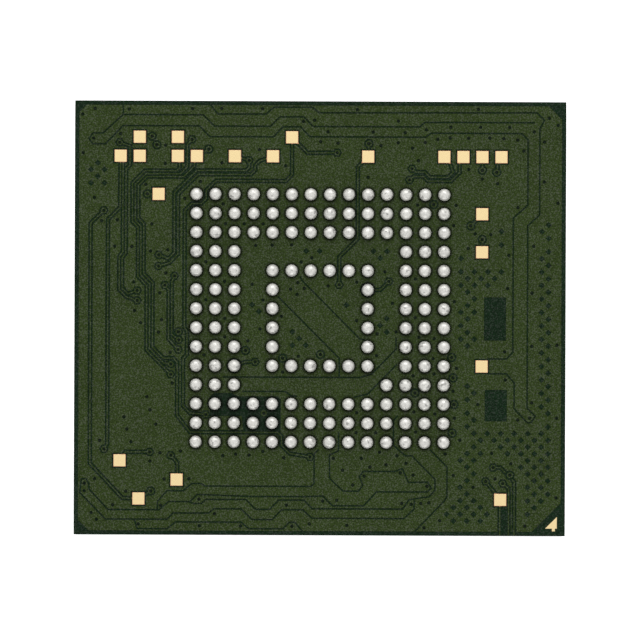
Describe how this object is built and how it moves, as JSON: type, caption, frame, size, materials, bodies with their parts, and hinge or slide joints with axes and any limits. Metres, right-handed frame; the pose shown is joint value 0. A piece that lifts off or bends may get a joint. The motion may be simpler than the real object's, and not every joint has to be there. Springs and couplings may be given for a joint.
{
  "type": "ball grid array memory chip",
  "caption": "Fine-pitch ball grid array memory package, ball side up, with solder balls, gold test pads, a routed copper layer under green mask and a moulded die stack.",
  "frame": {"origin": "centre of the flat moulded marking face, which is the bottom of the part as it lies", "axes": "+X along the long side to the right of the picture, +Y to its top, +Z out of the ball side"},
  "size_m": [0.013, 0.0114, 0.001],
  "materials": {
    "mould_compound": "matt black epoxy moulding compound with fine filler grain",
    "solder_mask": "dark green satin solder mask, lighter over copper",
    "laminate": "glass-epoxy laminate with sawn edges",
    "copper": "etched copper foil",
    "gold": "soft gold plating",
    "solder": "bright lead-free solder",
    "silicon": "polished silicon",
    "die_film": "die-attach film"
  },
  "bodies": {
    "root": {"mould_cap": "mould_compound", "top_solder_mask": "solder_mask", "top_copper": "copper", "substrate_core": "laminate", "via_barrels": "copper", "bottom_copper": "copper", "bottom_solder_mask": "solder_mask", "test_pad_gold": "gold", "index_mark": "gold", "solder_balls": "solder", "flash_die_1": "silicon", "flash_die_2": "silicon", "flash_die_3": "silicon", "flash_die_4": "silicon", "flash_film_1": "die_film", "flash_film_2": "die_film", "flash_film_3": "die_film", "flash_film_4": "die_film", "controller_die": "silicon", "controller_film": "die_film", "flash_bond_wires": "gold", "controller_bond_wires": "gold"}
  },
  "joints": []
}
